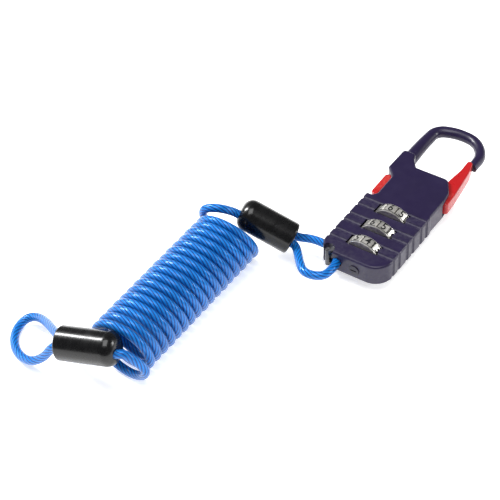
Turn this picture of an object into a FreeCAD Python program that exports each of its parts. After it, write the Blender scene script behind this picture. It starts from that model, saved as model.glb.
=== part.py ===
# Luggage combination padlock with snap hook, three dials and a coiled steel tether. Millimetres.
# Frame: the lock lies on its dial rims, dials up. +Y runs to the hook, +X to the gate, +Z up.
import FreeCAD, Part
import math, os
from FreeCAD import Vector as V, Placement, Rotation

os.makedirs("parts", exist_ok=True)
doc = FreeCAD.newDocument("padlock")

# ---------------------------------------------------------------- driving dimensions
DIMS = [
    ("datum_x", 0.245), ("datum_y", -46.5), ("datum_z", 4.5),          # body datum in the row frame
    ("thick", 9.0), ("half_w", 14.4),
    ("axis_x", 0.4), ("axis_z", 3.4),                    # dial axis, from the body datum
    ("dial_r", 7.9), ("dial_w", 4.6), ("dial_bore", 4.2),
    ("dial_y1", 30.65), ("dial_pitch", 10.29),
    ("pocket_r", 8.6), ("pocket_w", 5.1),
    ("hub_r", 2.75), ("hub_out", 1.2), ("hub_bore", 2.8),
    ("bush_hole", 1.7), ("bush_recess", 2.25), ("bush_body", 4.17),
    ("spindle_r", 1.6), ("fin_r", 2.0), ("fin_len", 1.0), ("spindle_y0", 9.8), ("spindle_y1", 44.5),
    ("head_r", 2.5), ("head_t", 1.5),
    ("reset_x", 2.0), ("reset_z", 4.2), ("reset_r", 2.1), ("reset_flange", 2.8), ("reset_pocket", 3.0),
    ("staple_r", 1.1), ("ring_x", -14.2), ("ring_y", -2.8), ("ring_r", 9.0), ("ring_cut", 2.05),
    ("post_x", -10.1), ("post_y", 1.0), ("scoop_r", 2.7),
    ("cable_d", 3.4), ("coil_turns", 18), ("coil_r0", 11.5), ("coil_r1", 11.2), ("lean_0", 20.0), ("lean_1", 8.0),
    ("sleeve_r", 6.4),
    ("groove_r", 1.3), ("groove_lift", 0.75),
    ("screw_r", 1.1), ("pin_r", 1.25), ("gate_t", 5.4), ("gate_x", 12.2), ("gate_y", 50.0),
]
sheet = doc.addObject("Spreadsheet::Sheet", "dims")
for i, (name, value) in enumerate(DIMS, 1):
    sheet.set("A%d" % i, name)
    sheet.set("B%d" % i, repr(value))
    sheet.setAlias("B%d" % i, name)
doc.recompute()
D = {name: float(getattr(sheet, name)) for name, _ in DIMS}
OX, OY, OZ = D["datum_x"], D["datum_y"], D["datum_z"]


def bind(o, **props):
    for key, expr in props.items():
        path = key.replace("__", ".")
        if isinstance(expr, (int, float)):
            if path.startswith("Placement"):
                o.setExpression(path, repr(float(expr)))
            else:
                setattr(o, path, expr)
        else:
            o.setExpression(path, expr)
    return o


def at(o, x, y, z, rot=None):
    """Place o at body coordinates; each of x, y, z is a number or an expression on the sheet."""
    if rot is not None:
        o.Placement = Placement(V(0, 0, 0), rot)
    for axis, datum, value in (("x", "datum_x", x), ("y", "datum_y", y), ("z", "datum_z", z)):
        value = value if isinstance(value, str) else repr(float(value))
        o.setExpression("Placement.Base." + axis, "dims.%s + (%s)" % (datum, value))
    return o


ALONG_Y = Rotation(V(1, 0, 0), -90)   # a primitive's z axis turned to +Y
count = [0]


def named(kind, name=None):
    count[0] += 1
    return doc.addObject(kind, name or "p%03d" % count[0])


def box(x, y, z, l, w, h, rot=None):
    o = bind(named("Part::Box"), Length=l, Width=w, Height=h)
    return at(o, x, y, z, rot)


def cyl(x, y, z, r, h, rot=None, angle=None):
    o = bind(named("Part::Cylinder"), Radius=r, Height=h)
    if angle:
        o.Angle = angle
    return at(o, x, y, z, rot)


def ycyl(x, y, z, r, h):
    return cyl(x, y, z, r, h, ALONG_Y)


def fuse(parts, name=None):
    o = named("Part::MultiFuse", name)
    o.Shapes = parts
    return o


def cut(base, tools, name=None):
    o = named("Part::Cut", name)
    o.Base = base
    o.Tool = tools if not isinstance(tools, list) else (tools[0] if len(tools) == 1 else fuse(tools))
    return o


def common(a, b, name=None):
    o = named("Part::MultiCommon", name)
    o.Shapes = [a, b]
    return o


def feature(shape, name=None):
    o = named("Part::Feature", name)
    o.Shape = shape
    return o


def outline(points, z0, height, name=None):
    """A prism on a closed outline of (x, y[, corner radius]) in body coordinates."""
    n = len(points)
    segs, prev_end, first_start = [], None, None
    ends = []
    for i, p in enumerate(points):
        c = V(p[0] + OX, p[1] + OY, z0 + OZ)
        r = p[2] if len(p) > 2 else 0
        if r <= 0:
            ends.append((c, None, c))
            continue
        a = points[i - 1]
        b = points[(i + 1) % n]
        u = (V(a[0] + OX, a[1] + OY, z0 + OZ) - c).normalize()
        w = (V(b[0] + OX, b[1] + OY, z0 + OZ) - c).normalize()
        half = u.getAngle(w) / 2
        t = r / math.tan(half)
        bis = (u + w).normalize()
        mid = c + bis * (r / math.sin(half) - r)
        ends.append((c + u * t, mid, c + w * t))
    edges = []
    for i in range(n):
        s, m, e = ends[i]
        if m is not None:
            edges.append(Part.Arc(s, m, e).toShape())
        nxt = ends[(i + 1) % n][0]
        if (nxt - e).Length > 1e-6:
            edges.append(Part.makeLine(e, nxt))
    wire = feature(Part.Wire(edges), None)
    ext = named("Part::Extrusion", name)
    ext.Base = wire
    ext.Dir = V(0, 0, 1)
    ext.LengthFwd = height
    ext.Solid = True
    return ext


def softened(base, z_level, radius, skip=None):
    """Round the outline's edges that lie at one height."""
    doc.recompute()
    picks = []
    for i, e in enumerate(base.Shape.Edges, 1):
        zs = [v.Point.z for v in e.Vertexes]
        if all(abs(z - (z_level + OZ)) < 1e-4 for z in zs):
            if skip and skip(e):
                continue
            picks.append((i, radius, radius))
    f = named("Part::Fillet")
    f.Base = base
    f.Edges = picks
    doc.recompute()
    if not f.Shape.isValid() or f.Shape.Volume <= 0:
        doc.removeObject(f.Name)
        return base
    return f


def rounded_path(points, share=0.45, report=None):
    """Straight runs joined by tangent arcs through hand-chosen points, in the row frame."""
    P = [V(*p) for p in points]
    edges, at_pt = [], P[0]
    for i in range(1, len(P) - 1):
        a, c, b = P[i - 1], P[i], P[i + 1]
        u, w = (a - c), (b - c)
        short = min(u.Length, w.Length)
        u.normalize(); w.normalize()
        turn = math.pi - u.getAngle(w)
        r = share * short / math.tan(turn / 2)
        t = share * short
        half = u.getAngle(w) / 2
        bis = (u + w).normalize()
        mid = c + bis * (r / math.sin(half) - r)
        if report:
            print("%s: corner %d turns %.0f degrees on radius %.2f mm" % (report, i, math.degrees(turn), r))
        s, e = c + u * t, c + w * t
        if (s - at_pt).Length > 1e-6:
            edges.append(Part.makeLine(at_pt, s))
        edges.append(Part.Arc(s, mid, e).toShape())
        at_pt = e
    edges.append(Part.makeLine(at_pt, P[-1]))
    return Part.Wire(edges)


def tube(wire, r):
    first = wire.OrderedEdges[0]
    p0 = first.firstVertex(True).Point
    p1 = first.valueAt(first.FirstParameter + (first.LastParameter - first.FirstParameter) * 0.5)
    circle = Part.Wire([Part.Circle(p0, p1 - p0, r).toShape()])
    return wire.makePipeShell([circle], True, False)


def spring(x, y, z, r, wire_r, length, turns, rot, name):
    """A round-wire spring of quarter-turn arcs; its axis starts at body coordinates (x, y, z)."""
    def on_helix(share):
        a = 2 * math.pi * turns * share
        return V(r * math.cos(a), r * math.sin(a), length * share)

    n = turns * 4
    arcs = [Part.Arc(on_helix(i / n), on_helix((i + 0.5) / n), on_helix((i + 1) / n)).toShape() for i in range(n)]
    start = Part.Wire([Part.Circle(V(r, 0, 0), V(0, 2 * math.pi * r * turns, length), wire_r).toShape()])
    s = Part.Wire(arcs).makePipeShell([start], True, False)
    s.Placement = Placement(V(x + OX, y + OY, z + OZ), rot)
    return feature(s, name)


# ---------------------------------------------------------------- covers
T = D["thick"]
MID = T / 2
AX, AZ = D["axis_x"], D["axis_z"]
BODY = [
    (-14.4, 36.4, 0.8), (-14.4, 0.0, 6.4), (14.4, 0.0, 7.6), (14.4, 35.6, 1.5), (14.0, 36.6, 1.5), (14.0, 47.0, 4.0),
    (13.2, 52.5, 5.0), (9.2, 59.4, 3.0), (-5.4, 59.4, 1.2), (-8.4, 63.4, 1.5), (-9.6, 66.6, 1.6), (-15.1, 66.6, 1.6),
    (-15.1, 54.2, 1.2), (-10.9, 49.6, 1.5), (-10.6, 38.2, 1.5), (-12.0, 36.4, 0.6),
]


def dial_y(i):
    return "dims.dial_y1 - %d * dims.dial_pitch" % i


def dial_tools():
    out = []
    for i in range(3):
        out.append(ycyl("dims.axis_x", dial_y(i) + " - dims.pocket_w / 2", "dims.axis_z", "dims.pocket_r", "dims.pocket_w"))
    # hub bores between the dials, the latch chamber and the bore for the reset button
    out.append(ycyl("dims.axis_x", 6.4, "dims.axis_z", "dims.hub_bore", 28.2))
    out.append(ycyl("dims.axis_x", 34.5, "dims.axis_z", "dims.spindle_r + 0.08", 5.0))
    out.append(ycyl("dims.reset_x", 1.2, "dims.reset_z", "dims.reset_pocket", 5.2))
    out.append(ycyl("dims.reset_x", -0.5, "dims.reset_z", "dims.reset_r + 0.08", 1.7))
    # leaf spring slot
    out.append(box(-9.3, 7.3, 1.0, 1.15, 29.6, 6.2))
    return out


def latch_tools():
    return [box(-2.9, 39.4, 0.75, 6.7, 9.6, 6.4)]


def gate_pocket():
    # the gate works between the two skins
    z0 = MID - D["gate_t"] / 2 - 0.25
    return outline([(0.6, 44.0), (7.4, 44.0), (8.4, 44.9), (11.4, 46.2), (16.5, 46.2), (16.5, 62.0), (3.7, 62.0), (3.7, 54.2), (0.6, 52.6)], z0, D["gate_t"] + 0.5)


def grooves():
    """Round scallops right round the body, two to a dial."""
    out = []
    along_x = Rotation(V(0, 1, 0), 90)
    for i in range(3):
        for s in (-1, 1):
            y = "%s + %s * 2.15" % (dial_y(i), s)
            out.append(cyl(-18.0, y, "dims.thick + dims.groove_lift", "dims.groove_r", 36.0, along_x))
            out.append(cyl(-18.0, y, "-dims.groove_lift - 0.2", "dims.groove_r", 36.0, along_x))
            out.append(cyl("-dims.half_w - dims.groove_lift", y, -2.0, "dims.groove_r", "dims.thick + 4"))
            out.append(cyl("dims.half_w + dims.groove_lift", y, -2.0, "dims.groove_r", "dims.thick + 4"))
    return out


def staple_solid(extra=0.0, name=None):
    """D lug: a post with two legs that run in to the body's corner."""
    r = D["staple_r"] + extra
    diag = Rotation(V(0, 0, 1), 45)
    h = 1.5 + 2 * extra
    legs = []
    for z in (0.85, 6.65):
        leg = box(0, 0, z - extra, 7.6 + extra, 2 * r, h)
        leg.Placement = Placement(V(0, 0, 0), diag)
        k = r * math.sqrt(0.5)
        at(leg, "dims.post_x + %r" % k, "dims.post_y - %r" % k, z - extra)
        legs.append(leg)
    post = cyl("dims.post_x", "dims.post_y", 0.85 - extra, r, 7.3 + 2 * extra)
    return fuse([post] + legs, name)


def ring_tool():
    t = named("Part::Torus")
    bind(t, Radius1="dims.ring_r", Radius2="dims.ring_cut")
    return at(t, "dims.ring_x", "dims.ring_y", "dims.thick / 2")


def hook_root(extra=0.0):
    return ycyl(-12.1, 53.4 - extra, MID, 2.35 + extra, 15.0)


SCREWS = [(-11.6, 12.6), (-11.6, 31.6), (11.9, 10.6), (11.9, 41.4)]


def screw_solids(extra=0.0):
    out = []
    for x, y in SCREWS:
        out.append(cyl(x, y, 0.6 if not extra else -0.5, "2 * dims.screw_r * 0.86 + %r" % extra, 1.3 if not extra else 2.4))
        out.append(cyl(x, y, 1.9, "dims.screw_r + %r" % extra, 4.4 + extra))
    return out


def button_pocket():
    return [outline([(-16.0, 38.0), (-8.2, 38.0), (-8.2, 52.4), (-16.0, 52.4)], MID - 2.75, 5.5),
            outline([(-8.3, 42.6), (-5.2, 42.6), (-5.2, 47.4), (-8.3, 47.4)], MID - 1.5, 3.0)]


def cover_tools():
    tools = dial_tools() + latch_tools() + [gate_pocket()] + grooves()
    tools += [staple_solid(0.03), ring_tool(), cyl("dims.post_x", "dims.post_y", -1, "dims.scoop_r", 12)]
    tools += [hook_root(0.02)] + screw_solids(0.02) + button_pocket()
    # pins: the gate's, and the hook's
    tools.append(cyl("dims.gate_x", "dims.gate_y", 0.7, "dims.pin_r + 0.02", 7.6))
    tools.append(cyl(-12.1, 56.6, 0.7, 0.92, 7.6))
    return tools


front = outline(BODY, MID, T - MID)
front = softened(front, T, 1.0)
front_cover = cut(front, cover_tools(), "front_cover")
back = outline(BODY, 0.0, MID - 0.02)
back = softened(back, 0.0, 1.0)
back_cover = cut(back, cover_tools(), "back_cover")

# ---------------------------------------------------------------- hook
hook_path = rounded_path([(-12.2 + OX, 60.0 + OY, MID + OZ), (-12.7 + OX, 77.0 + OY, MID + OZ), (-12.2 + OX, 88.4 + OY, MID + OZ), (-4.2 + OX, 91.3 + OY, MID + OZ),
                          (5.2 + OX, 90.6 + OY, MID + OZ), (11.4 + OX, 83.4 + OY, MID + OZ), (11.45 + OX, 74.4 + OY, MID + OZ)], 0.46)


def swept_hook():
    edges = hook_path.OrderedEdges
    total = sum(e.Length for e in edges)
    sections, run = [], 0.0
    start = edges[0].valueAt(edges[0].FirstParameter)
    picks = [(0.0, 3.4, 2.7), (0.30, 2.75, 2.5), (0.62, 2.35, 2.35), (1.0, 2.08, 2.08)]
    for share, a, b in picks:
        want = share * total
        run = 0.0
        for e in edges:
            if want <= run + e.Length + 1e-6:
                p = e.getParameterByLength(max(0.0, min(e.Length, want - run)))
                c, t = e.valueAt(p), e.tangentAt(p)
                break
            run += e.Length
        z = V(0, 0, 1)
        side = t.cross(z).normalize()
        el = Part.Ellipse(V(0, 0, 0), a, b)
        sh = el.toShape()
        m = FreeCAD.Matrix(side.x, z.x, t.x, c.x, side.y, z.y, t.y, c.y, side.z, z.z, t.z, c.z, 0, 0, 0, 1)
        if a == b:
            sh = Part.Circle(V(0, 0, 0), V(0, 0, 1), a).toShape()
        sections.append(Part.Wire([sh.transformGeometry(m)]))
    return hook_path.makePipeShell(sections, True, True)


try:
    bar = swept_hook()
    assert bar.isValid() and bar.Volume > 100
except Exception as why:
    print("tapered sweep not possible, one section used:", why)
    bar = tube(hook_path, 2.35)
hook_bar = feature(bar)
nose_cut = outline([(7.0, 72.0), (16.5, 72.0), (16.5, 73.2), (7.0, 77.6)], 0.0, T)
trimmed = cut(hook_bar, [nose_cut])
socket = outline(BODY, -0.5, T + 1.0)
trimmed = cut(trimmed, [socket])
hook = cut(fuse([trimmed, hook_root()]), [cyl(-12.1, 56.6, 0.5, 0.9, 8.0)], "hook")
hook_pin = cyl(-12.1, 56.6, 0.9, 0.88, 7.2)
hook_pin.Label = "hook_pin"

# ---------------------------------------------------------------- gate, its pin and spring
GATE = [
    (15.3, 47.6, 1.2), (14.8, 55.0, 12.0), (13.1, 69.5, 9.0), (11.5, 75.3, 1.4), (9.3, 75.8, 1.0), (9.5, 69.0, 3.0), (8.7, 62.0, 3.0),
    (8.4, 55.6, 2.0), (8.4, 51.7, 0.8), (2.3, 51.0, 0.5), (2.2, 48.3, 0.6), (10.6, 47.6, 1.0), (12.0, 46.9, 1.0),
]
gate_blank = outline(GATE, MID - D["gate_t"] / 2, D["gate_t"])
gate_blank = softened(gate_blank, MID + D["gate_t"] / 2, 0.6)
gate_blank = softened(gate_blank, MID - D["gate_t"] / 2, 0.6)
gate = cut(gate_blank, [cyl("dims.gate_x", "dims.gate_y", -1, "dims.pin_r + 0.05", 12), cyl("dims.gate_x", "dims.gate_y", MID - 1.1, 2.35, 2.2)], "gate")
gate_pin = cyl("dims.gate_x", "dims.gate_y", 0.75, "dims.pin_r", 7.5)
gate_spring = spring(D["gate_x"], D["gate_y"], MID - 0.65, 1.8, 0.2, 1.3, 2, Rotation(), "gate_spring")

# ---------------------------------------------------------------- release button and its spring
BUTTON = [(-14.3, 38.5, 2.2), (-14.6, 51.8, 1.4), (-11.2, 51.8, 0.6), (-11.2, 38.5, 0.6)]
button_blank = outline(BUTTON, MID - 2.6, 5.2)
button_blank = softened(button_blank, MID + 2.6, 0.5)
release_button = cut(button_blank, [cyl(-14.0, 45.0, MID, 1.35, 4.0, Rotation(V(0, 1, 0), 90))], "release_button")
release_button.Tool.setExpression("Placement.Base.x", "dims.datum_x - 13.0")
button_spring = spring(-12.9, 45.0, MID, 0.95, 0.16, 7.5, 7, Rotation(V(0, 1, 0), 90), "button_spring")

# ---------------------------------------------------------------- dials and their bushes
dials, bushes = [], []
for i in range(3):
    y0 = dial_y(i)
    disc = ycyl("dims.axis_x", y0 + " - dims.dial_w / 2", "dims.axis_z", "dims.dial_r", "dims.dial_w")
    hole = ycyl("dims.axis_x", y0 + " - dims.dial_w / 2 - 1", "dims.axis_z", "dims.dial_bore", "dims.dial_w + 2")
    flutes = []
    for k in range(10):
        a = math.radians(18 + 36 * k)
        f = box(0, 0, 0, 1.1, D["dial_w"] - 1.0, 0.9)
        rot = Rotation(V(0, 1, 0), math.degrees(a))
        off = rot.multVec(V(-0.55, 0, D["dial_r"] - 0.35))
        f.Placement = Placement(V(0, 0, 0), rot)
        at(f, "dims.axis_x + %r" % off.x, y0 + " - dims.dial_w / 2 + 0.5", "dims.axis_z + %r" % off.z)
        flutes.append(f)
    dials.append(cut(disc, [hole] + flutes, "dial_%d" % (i + 1)))
    body = ycyl("dims.axis_x", y0 + " - dims.dial_w / 2", "dims.axis_z", "dims.bush_body", "dims.dial_w")
    hubs = ycyl("dims.axis_x", y0 + " - dims.dial_w / 2 - dims.hub_out", "dims.axis_z", "dims.hub_r", "dims.dial_w + 2 * dims.hub_out")
    bore = ycyl("dims.axis_x", y0 + " - 6", "dims.axis_z", "dims.bush_hole", 12)
    recess = ycyl("dims.axis_x", y0 + " - dims.dial_w / 2 - dims.hub_out - 0.1", "dims.axis_z", "dims.bush_recess", 5.3)
    slot = box("dims.axis_x - 0.6", y0 + " - 6", "dims.axis_z", 1.2, 12, 2.3)
    bushes.append(cut(fuse([body, hubs]), [bore, recess, slot], "dial_bush_%d" % (i + 1)))

# ---------------------------------------------------------------- spindle, its spring, the leaf spring
shaft = ycyl("dims.axis_x", "dims.spindle_y0", "dims.axis_z", "dims.spindle_r", "dims.spindle_y1 - dims.spindle_y0 + 0.5")
head = ycyl("dims.axis_x", 46.4, "dims.axis_z", "dims.head_r", "dims.head_t")
neck = ycyl("dims.axis_x", "dims.spindle_y1", "dims.axis_z", "dims.spindle_r", 2.2)
fins = []
for i in range(3):
    fins.append(box("dims.axis_x - 0.45", dial_y(i) + " + 0.2", "dims.axis_z", 0.9, "dims.fin_len", "dims.fin_r"))
spindle = fuse([shaft, head, neck] + fins, "spindle")
spindle_spring = spring(AX, 39.75, AZ, 2.2, 0.22, 6.25, 5, ALONG_Y, "spindle_spring")
leaf = box(-9.1, 7.5, 1.3, 0.4, 28.8, 5.4)
bumps = [cyl(-8.6, dial_y(i), 1.3, 0.45, 5.4) for i in range(3)]
detent_spring = fuse([leaf] + bumps, "detent_spring")

# ---------------------------------------------------------------- reset button and its spring
knob = ycyl("dims.reset_x", -0.4, "dims.reset_z", "dims.reset_r", 2.3)
flange = ycyl("dims.reset_x", 1.3, "dims.reset_z", "dims.reset_flange", 0.8)
stem = ycyl("dims.reset_x", 1.8, "dims.reset_z", 1.2, 3.2)
slot = box("dims.reset_x - 1.3", -0.9, "dims.reset_z - 0.3", 2.6, 0.9, 0.6)
reset_button = cut(fuse([knob, flange, stem]), [slot], "reset_button")
reset_spring = spring(D["reset_x"], 2.35, D["reset_z"], 2.1, 0.2, 3.6, 4, ALONG_Y, "reset_spring")

# ---------------------------------------------------------------- screws, staple
cover_screws = fuse(screw_solids(), "cover_screws")
cable_staple = staple_solid(0.0, "cable_staple")

# ---------------------------------------------------------------- tether, row frame
CR = D["cable_d"] / 2
RX, RY, RZ = D["ring_x"] + OX, D["ring_y"] + OY, MID + OZ
RR = D["ring_r"]


def ring_pt(deg):
    return V(RX + RR * math.cos(math.radians(deg)), RY + RR * math.sin(math.radians(deg)), RZ)


# sleeves, from the coil's side to the loop's side
NEAR_IN, NEAR_OUT = V(-46.0, -50.5, 19.0), V(-26.4, -44.5, 9.1)
FAR_IN, FAR_OUT = V(-39.5, -134.0, 20.5), V(-61.8, -139.6, 16.7)
# the coil's axis in plan, from the top of the first turn to the top of the last
START, STOP = V(-45.9, -56.3, 0), V(-44.75, -130.5, 0)


def unit(a):
    return V(a).normalize()


near_u = unit(NEAR_OUT - NEAR_IN)
far_u = unit(FAR_OUT - FAR_IN)
near_n = unit(near_u.cross(V(0, 0, 1)))          # sideways, to -Y
far_n = unit(far_u.cross(V(0, 0, 1)))
HALF = 2.3                                        # half the strand spacing in a ferrule


def polyline_ring(start_deg, end_deg):
    """The ring's arc, from start to end, as a true arc edge."""
    mid = (start_deg + end_deg) / 2
    return Part.Arc(ring_pt(start_deg), ring_pt(mid), ring_pt(end_deg)).toShape()


up_n = -near_n
A = NEAR_OUT + up_n * HALF
B = NEAR_OUT - up_n * HALF
dead = NEAR_IN + near_u * 4.0 + up_n * HALF
tan_start = V(math.sin(math.radians(88)), -math.cos(math.radians(88)), 0)
first = rounded_path([tuple(dead), tuple(A + near_u * 2.0), tuple(ring_pt(88) - tan_start * 6.2), tuple(ring_pt(88))], 0.45, "near loop, upper strand")
ring = polyline_ring(88, -4)
tan_end = V(math.sin(math.radians(-4)), -math.cos(math.radians(-4)), 0)
low0 = ring_pt(-4)


def coil_at(turn):
    """The centre, radius and upward direction of the coil's ring at one turn."""
    share = turn / D["coil_turns"]
    r = D["coil_r0"] + (D["coil_r1"] - D["coil_r0"]) * share
    lean = math.radians(D["lean_0"] + (D["lean_1"] - D["lean_0"]) * share)
    c = START + (STOP - START) * share
    c.z = r * math.cos(lean) + CR + 0.05
    return c, r, V(0, -math.sin(lean), math.cos(lean))


def on_coil(turn, deg):
    c, r, up = coil_at(turn)
    return c + V(1, 0, 0) * (r * math.cos(math.radians(deg))) + up * (r * math.sin(math.radians(deg)))


lead = [tuple(low0), tuple(low0 + tan_end * 6.6), (-12.6 + OX, -11.6 + OY, 9.0), (-17.6 + OX, -7.2 + OY, 8.6), tuple(B + near_u * 2.5),
        tuple(NEAR_IN + near_n * HALF - near_u * 2.2), (-50.6, -57.7, 23.6), (-56.4, -59.5, 22.2), tuple(on_coil(0.75, 160) - V(0, 0.4, 0))]
second = rounded_path(lead, 0.45, "near lead")
near_wire = Part.Wire(first.OrderedEdges + [ring] + second.OrderedEdges)
near_solid = tube(near_wire, CR)
cable_near = feature(near_solid, "cable_near")


def sleeve_shapes(p_in, p_out, n, wire, name_f, name_s):
    """A crimped ferrule and the moulded sleeve over it; both are bored along the cable they hold."""
    u = unit(p_out - p_in)
    length = (p_out - p_in).Length
    r = D["sleeve_r"]
    shell = Part.makeCylinder(r, length, p_in, u)

    def rim(solid, centre):
        return [e for e in solid.Edges if e.Curve.TypeId == "Part::GeomCircle" and abs(e.Curve.Radius - r) < 1e-3 and (e.Curve.Center - centre).Length < 1e-3]

    shell = shell.makeFillet(4.2, rim(shell, p_in))
    shell = shell.makeFillet(0.9, rim(shell, p_out))
    core = p_in + u * 3.4
    core_len = length - 6.8
    w = unit(u.cross(n))
    # ferrule: two round barrels and the web between them
    fr = CR + 0.75
    barrels = [Part.makeCylinder(fr, core_len, core + n * s * HALF, u) for s in (-1, 1)]
    web = Part.makeBox(2 * HALF, 2 * fr, core_len)
    web = web.transformGeometry(FreeCAD.Matrix(n.x, w.x, u.x, 0, n.y, w.y, u.y, 0, n.z, w.z, u.z, 0, 0, 0, 0, 1))
    web.translate(core - n * HALF - w * fr)
    ferrule = barrels[0].fuse([barrels[1], web]).removeSplitter()
    bore = tube(wire, CR + 0.04)
    return feature(ferrule.cut(bore), name_f), feature(shell.cut(ferrule).cut(bore), name_s)


ferrule_near, sleeve_near = sleeve_shapes(NEAR_IN, NEAR_OUT, near_n, near_wire, "ferrule_near", "sleeve_near")


# far end: off the coil's end, through the far sleeve, round the end loop and back
far_a = FAR_OUT - far_n * HALF
far_b = FAR_OUT + far_n * HALF
far_dead = FAR_IN + far_u * 4.0 + far_n * HALF
far_pts = [tuple(on_coil(17, 300)), (-33.6, -128.5, 5.5), (-32.8, -131.0, 14.5), tuple(FAR_IN - far_n * HALF - far_u * 3.8), tuple(far_a + far_u * 2.0),
           (-67.9, -143.5, 8.5), (-74.6, -144.8, 4.0), (-83.7, -142.0, 2.0),
           (-90.4, -134.8, 1.9), (-91.0, -126.6, 2.6), (-83.2, -125.9, 6.0), tuple(far_b + far_u * 1.5), tuple(far_dead)]
far_wire = rounded_path(far_pts, 0.45, "far loop")
cable_far = feature(tube(far_wire, CR), "cable_far")
ferrule_far, sleeve_far = sleeve_shapes(FAR_IN, FAR_OUT, far_n, far_wire, "ferrule_far", "sleeve_far")


def coil_loft(turn_0, turn_1, grow):
    """A tube's surface through two of the coil's leaned rings."""
    rings = []
    for turn in (turn_0, turn_1):
        c, r, up = coil_at(turn)
        rings.append(Part.Wire([Part.Circle(c, V(1, 0, 0).cross(up), r + grow).toShape()]))
    return Part.makeLoft(rings, True, True)


outer = feature(coil_loft(0.75, 17, CR))
inner = feature(coil_loft(0.5, 17.3, -CR))
lead_bed = feature(tube(second, CR + 0.05))
tail_bed = feature(tube(far_wire, CR + 0.05))
cable_coil = cut(outer, [inner, lead_bed, tail_bed], "cable_coil")

# ---------------------------------------------------------------- checks and export
doc.recompute()
NODES = {
    "front_cover": front_cover, "back_cover": back_cover, "hook": hook, "hook_pin": hook_pin, "gate": gate, "gate_pin": gate_pin,
    "gate_spring": gate_spring, "release_button": release_button, "button_spring": button_spring, "spindle": spindle,
    "spindle_spring": spindle_spring, "detent_spring": detent_spring, "reset_button": reset_button, "reset_spring": reset_spring,
    "cover_screws": cover_screws, "cable_staple": cable_staple, "cable_near": cable_near, "ferrule_near": ferrule_near,
    "sleeve_near": sleeve_near, "cable_coil": cable_coil, "cable_far": cable_far, "ferrule_far": ferrule_far, "sleeve_far": sleeve_far,
}
for i in range(3):
    NODES["dial_%d" % (i + 1)] = dials[i]
    NODES["dial_bush_%d" % (i + 1)] = bushes[i]
for o in doc.Objects:
    if any(s in ("Invalid", "Error") for s in o.State):
        raise RuntimeError("%s is in state %s" % (o.Name, o.State))
    if hasattr(o, "Shape") and not o.Shape.isNull() and not o.Shape.isValid():
        raise RuntimeError("%s has a faulty shape" % o.Name)
lo, hi = [1e9] * 3, [-1e9] * 3
for name, o in NODES.items():
    s = o.Shape
    if s.isNull() or not s.Solids:
        raise RuntimeError(name + " has no solid")
    b = s.BoundBox
    print("%-16s solids %d volume %9.2f  x %.2f %.2f  y %.2f %.2f  z %.2f %.2f" % (name, len(s.Solids), s.Volume, b.XMin, b.XMax, b.YMin, b.YMax, b.ZMin, b.ZMax))
    if not name.startswith(("cable_near", "cable_far", "cable_coil", "ferrule", "sleeve")):
        for k, (l, h) in enumerate(((b.XMin, b.XMax), (b.YMin, b.YMax), (b.ZMin, b.ZMax))):
            lo[k], hi[k] = min(lo[k], l), max(hi[k], h)
    s.exportStep("parts/%s.step" % name)
print("lock box", [round(v, 3) for v in lo], [round(v, 3) for v in hi])
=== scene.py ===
"""Looks for the luggage padlock and its coiled tether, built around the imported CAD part.

Metres, in the part's frame. mm() takes millimetres.
"""

import math

import bmesh
import bpy
from mathutils import Matrix, Vector


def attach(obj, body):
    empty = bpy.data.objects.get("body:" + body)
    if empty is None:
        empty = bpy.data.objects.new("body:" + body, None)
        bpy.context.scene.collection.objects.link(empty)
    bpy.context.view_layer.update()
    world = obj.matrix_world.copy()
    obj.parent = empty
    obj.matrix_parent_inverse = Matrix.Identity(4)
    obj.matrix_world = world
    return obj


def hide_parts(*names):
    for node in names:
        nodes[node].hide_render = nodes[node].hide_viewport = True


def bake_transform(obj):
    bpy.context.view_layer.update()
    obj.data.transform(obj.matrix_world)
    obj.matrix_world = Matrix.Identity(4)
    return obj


MM = 0.001
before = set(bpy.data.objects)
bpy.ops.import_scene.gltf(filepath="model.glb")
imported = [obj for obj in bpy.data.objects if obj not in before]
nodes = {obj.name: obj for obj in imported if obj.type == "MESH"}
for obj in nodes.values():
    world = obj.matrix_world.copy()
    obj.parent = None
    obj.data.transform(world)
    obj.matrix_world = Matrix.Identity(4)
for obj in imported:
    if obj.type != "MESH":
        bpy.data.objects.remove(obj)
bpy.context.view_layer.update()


def mm(x, y, z):
    return Vector((x, y, z)) * MM


# ---------------------------------------------------------------- camera
EYE = mm(210.36, -392.95, 398.38)
TARGET = mm(-39.67, -54.32, 4.5)
ROLL = math.radians(-3.07)
LENS = 107.87  # on the default 36 mm sensor


def make_camera():
    back = (EYE - TARGET).normalized()
    level = Vector((0, 0, 1)).cross(back).normalized()
    upright = back.cross(level)
    right = level * math.cos(ROLL) + upright * math.sin(ROLL)
    up = upright * math.cos(ROLL) - level * math.sin(ROLL)
    data = bpy.data.cameras.new("camera")
    data.lens = LENS
    data.clip_start, data.clip_end = 0.01, 10
    camera = bpy.data.objects.new("camera", data)
    bpy.context.scene.collection.objects.link(camera)
    camera.matrix_world = Matrix((
        (right.x, up.x, back.x, EYE.x), (right.y, up.y, back.y, EYE.y),
        (right.z, up.z, back.z, EYE.z), (0, 0, 0, 1)))
    bpy.context.scene.camera = camera


make_camera()


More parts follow.
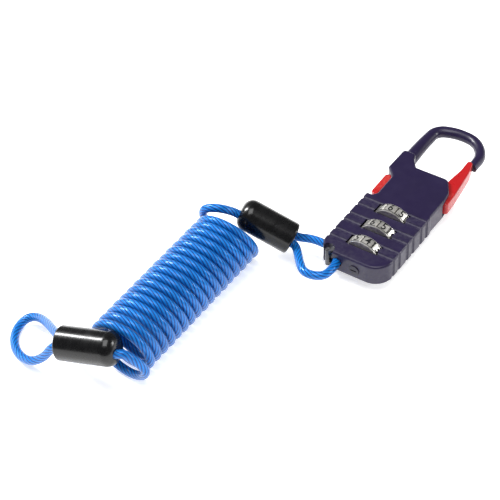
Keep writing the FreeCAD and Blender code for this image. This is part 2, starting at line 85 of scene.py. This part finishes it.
# ---------------------------------------------------------------- materials
class Tree:
    """A short way to write a material's nodes."""

    def __init__(self, name):
        self.material = bpy.data.materials.new(name)
        self.material.use_nodes = True
        self.nodes = self.material.node_tree.nodes
        self.links = self.material.node_tree.links
        self.shader = self.nodes["Principled BSDF"]

    def put(self, node, key, value):
        """Links value into a socket, or sets it there."""
        socket = node.inputs[key]
        if isinstance(value, bpy.types.NodeSocket):
            self.links.new(value, socket)
        elif isinstance(value, (tuple, list)) and socket.type == "RGBA":
            socket.default_value = (*value[:3], 1)
        else:
            socket.default_value = value

    def shade(self, **values):
        for key, value in values.items():
            self.put(self.shader, key.replace("_", " "), value)
        return self.material

    def math(self, operation, a, b=None, c=None, clamp=False):
        n = self.nodes.new("ShaderNodeMath")
        n.operation, n.use_clamp = operation, clamp
        for i, v in enumerate((a, b, c)):
            if v is not None:
                self.put(n, i, v)
        return n.outputs[0]

    def place(self, scale=(1, 1, 1)):
        """Object coordinates, stretched by scale."""
        n = self.nodes.new("ShaderNodeMapping")
        self.put(n, "Vector", self.nodes.new("ShaderNodeTexCoord").outputs["Object"])
        n.inputs["Scale"].default_value = scale
        return n.outputs[0]

    def noise(self, scale, detail=3.0, rough=0.55, at=None, stretch=(1, 1, 1)):
        n = self.nodes.new("ShaderNodeTexNoise")
        self.put(n, "Vector", at or self.place(stretch))
        n.inputs["Scale"].default_value = scale
        n.inputs["Detail"].default_value = detail
        n.inputs["Roughness"].default_value = rough
        return n.outputs["Fac"]

    def span(self, value, low, high, to_low, to_high):
        n = self.nodes.new("ShaderNodeMapRange")
        self.put(n, "Value", value)
        for key, v in (("From Min", low), ("From Max", high), ("To Min", to_low), ("To Max", to_high)):
            n.inputs[key].default_value = v
        return n.outputs[0]

    def ramp(self, value, *stops):
        n = self.nodes.new("ShaderNodeValToRGB")
        self.put(n, "Fac", value)
        while len(n.color_ramp.elements) < len(stops):
            n.color_ramp.elements.new(0.5)
        for e, (at, colour) in zip(n.color_ramp.elements, stops):
            e.position, e.color = at, (*colour, 1)
        return n.outputs["Color"]

    def blend(self, share, a, b):
        n = self.nodes.new("ShaderNodeMix")
        n.data_type = "RGBA"
        self.put(n, 0, share)
        self.put(n, 6, a)
        self.put(n, 7, b)
        return n.outputs[2]

    def bump(self, height, distance, strength=1.0, normal=None):
        n = self.nodes.new("ShaderNodeBump")
        n.inputs["Distance"].default_value = distance
        n.inputs["Strength"].default_value = strength
        self.put(n, "Height", height)
        if normal is not None:
            self.put(n, "Normal", normal)
        return n.outputs[0]

    def edges(self, low, high):
        """1 on convex edges and 0 elsewhere."""
        n = self.nodes.new("ShaderNodeNewGeometry")
        return self.span(n.outputs["Pointiness"], low, high, 0.0, 1.0)


def paint(name, deep, pale, rough, coat, edge_wear_and_highlight_colour):
    """Glossy paint on die-cast metal: fine orange peel, patchy gloss, and convex edges painted paler, partly
    rubbed wear and partly a painted edge highlight.
    """
    t = Tree(name)
    patches = t.noise(120, 3)
    colour = t.blend(t.span(patches, 0.35, 0.65, 0.0, 1.0), deep, pale)
    # Convex edges are blended to a paler colour: part edge wear, part painted highlight along the edges.
    edge_wear_and_highlight_mask = t.math("MULTIPLY", t.edges(0.53, 0.62), t.span(t.noise(700, 2), 0.4, 0.6, 0.15, 0.7))
    colour = t.blend(edge_wear_and_highlight_mask, colour, edge_wear_and_highlight_colour)
    peel = t.noise(1400, 2, 0.5)
    return t.shade(
        Base_Color=colour, Roughness=t.span(t.noise(260, 4), 0.3, 0.7, rough - 0.05, rough + 0.07),
        Normal=t.bump(peel, 0.02 * MM, 0.6), Coat_Weight=coat, Coat_Roughness=0.12, Specular_IOR_Level=0.35)


def metal(name, dark, light, rough, stretch=(1, 1, 1), grain=0.01):
    t = Tree(name)
    streaks = t.noise(900, 4, 0.6, stretch=stretch)
    return t.shade(
        Base_Color=t.blend(t.span(streaks, 0.3, 0.7, 0.0, 1.0), dark, light), Metallic=1.0,
        Roughness=t.span(t.noise(300, 3), 0.3, 0.7, rough - 0.06, rough + 0.08),
        Normal=t.bump(streaks, grain * MM, 0.7))


def vinyl(name, deep, pale, rough, coat=0.6):
    """Moulded glossy vinyl with faint rubbed marks."""
    t = Tree(name)
    marks = t.noise(380, 5, 0.7, stretch=(1, 0.35, 1))
    return t.shade(
        Base_Color=t.blend(t.span(marks, 0.4, 0.75, 0.0, 1.0), deep, pale),
        Roughness=t.span(marks, 0.3, 0.75, rough, rough + 0.16),
        Normal=t.bump(t.noise(220, 3), 0.05 * MM, 0.35),
        Coat_Weight=coat, Coat_Roughness=0.08, Specular_IOR_Level=0.3)


STRANDS = 8
LAY = 18.0 * MM


def cable():
    """Twisted steel strands under a clear blue coat, with painted shade in the valleys between strands and
    painted highlight on their crowns.

    The cord's UV map holds turns of the lay and the way round.
    """
    t = Tree("blue_cable")
    uv = t.nodes.new("ShaderNodeUVMap")
    uv.uv_map = "lay"
    split = t.nodes.new("ShaderNodeSeparateXYZ")
    t.put(split, 0, uv.outputs[0])
    along, around = split.outputs[0], split.outputs[1]

    def ridges(count, slope):
        phase = t.math("MULTIPLY_ADD", around, float(count), t.math("MULTIPLY", along, float(slope)))
        off = t.math("SUBTRACT", t.math("MULTIPLY", t.math("FRACT", phase), 2.0), 1.0)
        return t.math("SQRT", t.math("SUBTRACT", 1.001, t.math("MULTIPLY", off, off)))

    strand = ridges(STRANDS, -STRANDS)
    wire = ridges(3 * STRANDS, -STRANDS)
    height = t.math("MULTIPLY_ADD", wire, 0.16, strand)
    # The colour ramp paints shade into the strand valleys and a highlight on the strand crowns, following
    # the same height as the bump.
    colour = t.ramp(
        height, (0.3, (0.0005, 0.007, 0.06)), (0.8, (0.001, 0.066, 0.30)), (1.1, (0.005, 0.20, 0.66)))
    cloud = t.noise(90, 2)
    colour = t.blend(t.span(cloud, 0.3, 0.7, 0.0, 0.35), colour, (0.001, 0.065, 0.27))
    return t.shade(
        Base_Color=colour, Metallic=0.2, Roughness=0.34, Normal=t.bump(height, 0.22 * MM, 0.9),
        Coat_Weight=0.4, Coat_Roughness=0.06, Coat_IOR=1.4, Specular_IOR_Level=0.25)


M = {
    "navy": paint(
        "navy_paint", (0.011, 0.0065, 0.032), (0.013, 0.008, 0.037), 0.34, 0.1, (0.04, 0.036, 0.06)),
    "red": paint("red_paint", (0.36, 0.006, 0.008), (0.42, 0.009, 0.011), 0.30, 0.25, (0.5, 0.06, 0.05)),
    "steel": metal("steel", (0.36, 0.36, 0.37), (0.52, 0.52, 0.53), 0.32),
    "spring": metal("spring_steel", (0.25, 0.25, 0.27), (0.42, 0.42, 0.44), 0.28),
    "silver": metal("dial_silver", (0.50, 0.49, 0.46), (0.82, 0.80, 0.76), 0.44, (1, 6, 1), 0.02),
    "brass": metal("brass", (0.42, 0.27, 0.09), (0.62, 0.43, 0.17), 0.33),
    "alloy": metal("ferrule_alu", (0.42, 0.42, 0.43), (0.6, 0.6, 0.61), 0.38),
    "button": vinyl("navy_plastic", (0.012, 0.010, 0.022), (0.02, 0.017, 0.034), 0.34, 0.2),
    "staple": paint(
        "black_enamel", (0.006, 0.006, 0.008), (0.010, 0.010, 0.013), 0.22, 0.5, (0.10, 0.10, 0.11)),
    "sleeve": vinyl("black_vinyl", (0.0015, 0.0015, 0.002), (0.003, 0.003, 0.0035), 0.20, 0.25),
    # A near-black material for the floors between the dial pads and the rim walls: painted shade in these
    # recesses, on a dial that is silver all over.
    "recess": paint("dial_recess_painted_shade", (0.012, 0.012, 0.013), (0.02, 0.02, 0.021), 0.4, 0.1, (0.2, 0.2, 0.2)),
    "ink": vinyl("digit_ink", (0.004, 0.004, 0.004), (0.010, 0.010, 0.010), 0.5, 0.0),
    "cable": cable(),
}
DRESS = {
    "front_cover": "navy", "back_cover": "navy", "hook": "navy", "gate": "red", "release_button": "red",
    "reset_button": "button", "cable_staple": "staple", "sleeve_near": "sleeve", "sleeve_far": "sleeve",
    "hook_pin": "steel", "gate_pin": "steel", "cover_screws": "steel", "spindle": "steel",
    "gate_spring": "spring", "button_spring": "spring", "spindle_spring": "spring", "reset_spring": "spring",
    "detent_spring": "spring", "dial_bush_1": "brass", "dial_bush_2": "brass", "dial_bush_3": "brass",
    "ferrule_near": "alloy", "ferrule_far": "alloy",
}
for node, key in DRESS.items():
    slots = nodes[node].material_slots
    for slot in slots:
        slot.link = "OBJECT"
        slot.material = M[key]


def piece(name, vertices, faces, *materials):
    mesh = bpy.data.meshes.new(name)
    mesh.from_pydata([tuple(v) for v in vertices], [], faces)
    o = bpy.data.objects.new(name, mesh)
    for m in materials:
        mesh.materials.append(m)
    bpy.context.scene.collection.objects.link(o)
    return o


def smooth(o, degrees=35):
    """Smooth shading with creases sharper than the angle kept."""
    bm = bmesh.new()
    bm.from_mesh(o.data)
    bmesh.ops.recalc_face_normals(bm, faces=bm.faces)
    for f in bm.faces:
        f.smooth = True
    for e in bm.edges:
        e.smooth = not (len(e.link_faces) == 2 and e.calc_face_angle(0) > math.radians(degrees))
    bm.to_mesh(o.data)
    bm.free()
    return o


# ---------------------------------------------------------------- tether
CORD_D = 3.4 * MM
RING, RING_R = mm(-13.955, -49.3, 9.0), 9.0 * MM          # the loop in the lock's eye
START, STOP = mm(-45.9, -56.3, 0), mm(-44.75, -130.5, 0)  # the coil's axis in plan, first top to last top
TURNS, PER_TURN = 18, 16
FIRST_STEP, LAST_STEP = 4, 285                            # the steps of the coil that are drawn
COIL_R = (11.5 * MM, 11.2 * MM)                           # the centre line's radius, first and last
COIL_LIFT = 0.05 * MM                                     # the coil's clearance from the floor
LEAN = (math.radians(20), math.radians(8))                # how far the rings lean, first and last
LOOSE = mm(1.8, -1.1, 0)                                  # how far the last turn has slipped
LOOSE_FROM, LOOSE_OVER = 17.05, 0.7                       # where it starts to slip and over how many turns


def polygon_radius(radius, step):
    """The radius of a control polygon whose spline keeps to a circle."""
    return radius / (0.75 + 0.25 * math.cos(step))


def mix(pair, share):
    """The value at a share of the way from the first of the pair to the second."""
    return pair[0] + (pair[1] - pair[0]) * share


def ring_points():
    """The loop through the eye, from its upper strand round to its lower one."""
    step = math.radians(23)
    r = polygon_radius(RING_R, step)
    angles = [math.radians(88) - step * k for k in range(5)]
    return [RING + Vector((math.cos(a), math.sin(a), 0)) * r for a in angles]


def coil_points():
    """Control points of the coil's turns: over the top to the left and down, away from the lock."""
    points = []
    for k in range(FIRST_STEP, LAST_STEP):
        turn = k / PER_TURN
        r, lean = mix(COIL_R, turn / TURNS), mix(LEAN, turn / TURNS)
        loose = min(max((turn - LOOSE_FROM) / LOOSE_OVER, 0), 1)
        wander = 0.06 * MM * math.sin(turn * 5.1)
        height = r * math.cos(lean) + CORD_D / 2 + COIL_LIFT
        centre = START.lerp(STOP, turn / TURNS) + Vector((0, wander, height))
        centre += LOOSE * (loose * loose * (3 - 2 * loose))
        r = polygon_radius(r, math.tau / PER_TURN) * (1 + 0.006 * math.sin(turn * 2.3 + 1))
        a = math.tau * (turn + 0.25)
        outward = Vector((math.cos(a), -math.sin(a) * math.sin(lean), math.sin(a) * math.cos(lean)))
        points.append(centre + outward * r)
    return points


# through the near sleeve and round the eye, then back through the sleeve and over to the coil
TO_RING = [(-43.23, -47.25, 17.26), (-27.07, -42.30, 9.10), (-25.35, -41.77, 8.23), (-20.1, -40.3, 9.0)]
FROM_RING = [
    (-5.43, -55.9, 9.0), (-12.36, -58.1, 9.0), (-17.36, -53.7, 8.6), (-23.57, -46.04, 8.01),
    (-26.2, -46.85, 9.3), (-45.2, -52.66, 18.9), (-47.22, -53.28, 19.96), (-50.6, -57.7, 23.6),
    (-56.4, -59.5, 22.2), (-58.0, -58.7, 17.5)]
# off the coil, through the far sleeve, round the end loop and back
FAR_LOOP = [
    (-36.4, -134.6, 21.0), (-38.94, -136.23, 20.5), (-61.24, -141.83, 16.7), (-63.15, -142.31, 16.37),
    (-67.9, -143.5, 8.5), (-74.6, -144.8, 4.0), (-83.7, -142.0, 2.0), (-90.4, -134.8, 1.9),
    (-91.0, -126.6, 2.6), (-83.2, -125.9, 6.0), (-63.80, -137.73, 16.46), (-62.36, -137.37, 16.7),
    (-43.89, -132.73, 19.85)]
NEAR_ROUTE = [mm(*p) for p in TO_RING] + ring_points() + [mm(*p) for p in FROM_RING]
FAR_ROUTE = [mm(*p) for p in FAR_LOOP]


def spline(name, points, steps):
    """The points along a NURBS spline with these control points."""
    curve = bpy.data.curves.new(name, "CURVE")
    curve.dimensions = "3D"
    s = curve.splines.new("NURBS")
    s.points.add(len(points) - 1)
    for p, q in zip(s.points, points):
        p.co = (*q, 1)
    s.order_u, s.use_endpoint_u, s.resolution_u = 3, True, steps
    curve.resolution_u = steps
    holder = bpy.data.objects.new(name, curve)
    mesh = bpy.data.meshes.new_from_object(holder)
    line = [v.co.copy() for v in mesh.vertices]
    bpy.data.meshes.remove(mesh)
    bpy.data.curves.remove(curve)
    return line


def tube(name, line, radius, sides, material):
    """A round tube on a line of points, with flat ends and a UV map of its lay."""
    last = len(line) - 1
    tangents = [(line[min(i + 1, last)] - line[max(i - 1, 0)]).normalized() for i in range(len(line))]
    turns = [math.tau * k / sides for k in range(sides)]
    across = tangents[0].orthogonal().normalized()
    rings, along, gone = [], [], 0.0
    for i, (p, t) in enumerate(zip(line, tangents)):
        across = (across - t * across.dot(t)).normalized()
        gone += (p - line[i - 1]).length if i else 0
        up = t.cross(across)
        rings.append([p + (across * math.cos(a) + up * math.sin(a)) * radius for a in turns])
        along.append(gone)
    vertices = [v for ring in rings for v in ring]
    faces, uvs = [], []
    for i in range(len(rings) - 1):
        for k in range(sides):
            a, b = i * sides + k, i * sides + (k + 1) % sides
            faces.append((a, b, b + sides, a + sides))
            u0, u1 = along[i] / LAY, along[i + 1] / LAY
            uvs += [(u0, k / sides), (u0, (k + 1) / sides), (u1, (k + 1) / sides), (u1, k / sides)]
    for ring, order in ((0, -1), (len(rings) - 1, 1)):
        faces.append(tuple(ring * sides + k for k in range(sides))[::order])
        uvs += [(along[ring] / LAY, 0.5)] * sides
    o = piece(name, vertices, faces, material)
    layer = o.data.uv_layers.new(name="lay")
    layer.data.foreach_set("uv", [c for uv in uvs for c in uv])
    for p in o.data.polygons:
        p.use_smooth = True
    return o


route = spline("tether_route", NEAR_ROUTE + coil_points() + FAR_ROUTE, 5)
tether = tube("tether_cable", route, CORD_D / 2, 24, M["cable"])
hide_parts("cable_near", "cable_coil", "cable_far")
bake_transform(tether)


# ---------------------------------------------------------------- dials
DIAL_X, DIAL_Z = 0.645 * MM, 7.9 * MM
DIAL_R, DIAL_BORE, DIAL_HALF = 7.9 * MM, 4.2 * MM, 2.3 * MM
# node, body, the dial's middle in y in millimetres, and the angle at which its 5 stands
DIALS = (
    ("dial_1", "dial_top", -15.85, 32), ("dial_2", "dial_middle", -26.14, 18),
    ("dial_3", "dial_bottom", -36.43, -24))
PAD, FLANK = 14.5, 2.0       # half the angle of a number's pad and the angle of its flank, in degrees
RIM_DROP, FLOOR_DROP, CHAMFER = 0.12 * MM, 0.62 * MM, 0.25 * MM
DIGIT_TALL = 3.3 * MM
CAP_HEIGHT = 0.69            # a digit's height over the font's size
SLICE = 0.25 * MM            # a digit is cut in slices this wide before it is wrapped


def round_dial(angle, radius, y):
    """A point on a dial, by its angle from straight up toward +X."""
    a = math.radians(angle)
    return Vector((DIAL_X + radius * math.sin(a), y, DIAL_Z + radius * math.cos(a)))


def dial_body(name, y, turned):
    """A wheel with ten raised pads between two thin rims."""
    rim, floor = DIAL_R - RIM_DROP, DIAL_R - FLOOR_DROP
    # half of the profile, bore to middle: share of the half width, radius, and whether a pad raises it
    half = [
        (1, DIAL_BORE, False), (1, rim - CHAMFER, False), (0.92, rim, False), (0.84, rim, False),
        (0.80, floor, False), (0.76, floor, False), (0.70, floor, True)]
    across = [(-share, radius, lifts) for share, radius, lifts in half] + half[::-1]
    angles = []
    for k in range(10):
        middle = turned + 36 * k
        angles += [(middle - PAD - FLANK, False), (middle - PAD, True)]
        angles += [(middle + PAD * t / 3, True) for t in (-2, -1, 0, 1, 2)]
        angles += [(middle + PAD, True), (middle + PAD + FLANK, False)]
    vertices, faces = [], []
    n, m = len(across), len(angles)
    for angle, raised in angles:
        for share, radius, lifts in across:
            vertices.append(round_dial(angle, DIAL_R if lifts and raised else radius, y + share * DIAL_HALF))
    for i in range(m):
        here, there = i * n, (i + 1) % m * n
        for k in range(n):
            after = (k + 1) % n
            faces.append((here + k, here + after, there + after, there + k))
    o = piece(name, vertices, faces, M["silver"], M["recess"])
    for f in o.data.polygons:
        i, k = divmod(f.index, n)
        on_pad = 5 <= k <= 7 and (angles[i][1] or angles[(i + 1) % m][1])
        # The pad floors and rim walls take the dark material, which paints shade into these recesses.
        f.material_index = int(3 <= k <= 9 and not on_pad)
    return smooth(o, 30)


def digit(name, text, y, angle):
    """One filled digit, wrapped round the pad's face."""
    curve = bpy.data.curves.new(name, "FONT")
    curve.body, curve.size = text, DIGIT_TALL / CAP_HEIGHT
    curve.align_x, curve.align_y = "CENTER", "CENTER"
    curve.extrude, curve.offset = 0.1 * MM, 0.05 * MM
    holder = bpy.data.objects.new(name, curve)
    mesh = bpy.data.meshes.new_from_object(holder)
    bm = bmesh.new()
    bm.from_mesh(mesh)
    for k in range(-5, 6):
        everything = bm.verts[:] + bm.edges[:] + bm.faces[:]
        bmesh.ops.bisect_plane(bm, geom=everything, plane_co=(k * SLICE, 0, 0), plane_no=(1, 0, 0))
    for v in bm.verts:
        v.co = round_dial(angle + math.degrees(v.co.x * 0.92 / DIAL_R), DIAL_R + v.co.z * 0.5, y + v.co.y)
    bm.to_mesh(mesh)
    bm.free()
    mesh.materials.clear()
    mesh.materials.append(M["ink"])
    o = bpy.data.objects.new(name, mesh)
    bpy.context.scene.collection.objects.link(o)
    bpy.data.curves.remove(curve)
    return o


def join(parts):
    """One object from several, with their materials kept."""
    with bpy.context.temp_override(active_object=parts[0], selected_editable_objects=parts):
        bpy.ops.object.join()
    return parts[0]


for node, body, y, fifth in DIALS:
    parts = [dial_body(node + "_wheel", y * MM, fifth)]
    parts += [digit("%s_digit_%d" % (node, d), str(d), y * MM, fifth + (5 - d) * 36) for d in range(10)]
    wheel = join(parts)
    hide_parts(node)
    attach(wheel, body)


# ---------------------------------------------------------------- floor and light
def make_floor():
    low = -0.0002
    size = 3.0
    corners = [(-size, -size, low), (size, -size, low), (size, size, low), (-size, size, low)]
    floor = piece("floor", corners, [(0, 1, 2, 3)])
    t = Tree("floor_white")
    floor.data.materials.append(t.shade(
        Base_Color=(0.92, 0.92, 0.92), Roughness=0.9, Specular_IOR_Level=0.1,
        Emission_Color=(1, 1, 1), Emission_Strength=0.6))


def area(name, place, toward, size, size_y, watts):
    data = bpy.data.lights.new(name, "AREA")
    data.shape, data.size, data.size_y, data.energy = "RECTANGLE", size, size_y, watts
    o = bpy.data.objects.new(name, data)
    bpy.context.scene.collection.objects.link(o)
    o.location = place
    o.rotation_euler = (Vector(toward) - Vector(place)).to_track_quat("-Z", "Y").to_euler()


make_floor()
CENTRE = (-0.04, -0.06, 0.01)
area("left_box", (-0.85, -0.12, 0.80), CENTRE, 0.22, 0.5, 17)
area("right_box", (0.85, 0.55, 0.45), CENTRE, 0.3, 0.4, 5)
area("top_box", (0.1, -0.3, 1.3), CENTRE, 0.9, 0.9, 13)
world = bpy.data.worlds.new("studio")
world.use_nodes = True
world.node_tree.nodes["Background"].inputs[0].default_value = (1, 1, 1, 1)
world.node_tree.nodes["Background"].inputs[1].default_value = 0.2
bpy.context.scene.world = world
bpy.context.scene.view_settings.view_transform = "Standard"
